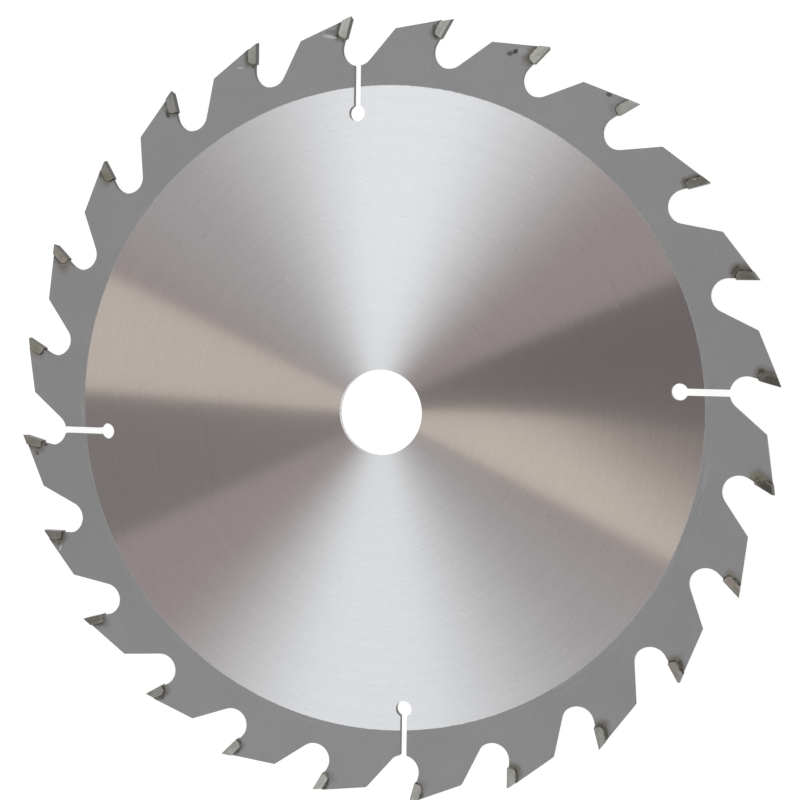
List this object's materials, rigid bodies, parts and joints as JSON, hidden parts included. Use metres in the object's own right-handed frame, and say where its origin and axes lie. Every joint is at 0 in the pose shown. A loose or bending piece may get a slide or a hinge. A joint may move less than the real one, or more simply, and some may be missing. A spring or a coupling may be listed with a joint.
{
  "type": "tct circular saw blade",
  "caption": "Flat circular saw blade: a brushed steel plate with hooked teeth, brazed carbide tips, a round arbor bore and keyhole expansion slots.",
  "frame": {"origin": "on the axis of the arbor bore, at mid thickness of the plate", "axes": "+Z along the bore axis, with the blade lying flat; +Y through the first cutting point; the teeth point clockwise seen from +Z"},
  "size_m": [0.184, 0.184, 0.0024],
  "materials": {
    "saw_steel": "concentric brushing inside a matte rim",
    "carbide": "ground",
    "braze": "as brazed"
  },
  "bodies": {
    "root": {"blade_body": "saw_steel", "carbide_tip_01": "carbide", "carbide_tip_02": "carbide", "carbide_tip_03": "carbide", "carbide_tip_04": "carbide", "carbide_tip_05": "carbide", "carbide_tip_06": "carbide", "carbide_tip_07": "carbide", "carbide_tip_08": "carbide", "carbide_tip_09": "carbide", "carbide_tip_10": "carbide", "carbide_tip_11": "carbide", "carbide_tip_12": "carbide", "carbide_tip_13": "carbide", "carbide_tip_14": "carbide", "carbide_tip_15": "carbide", "carbide_tip_16": "carbide", "carbide_tip_17": "carbide", "carbide_tip_18": "carbide", "carbide_tip_19": "carbide", "carbide_tip_20": "carbide", "carbide_tip_21": "carbide", "carbide_tip_22": "carbide", "carbide_tip_23": "carbide", "carbide_tip_24": "carbide", "braze_joints": "braze"}
  },
  "joints": []
}
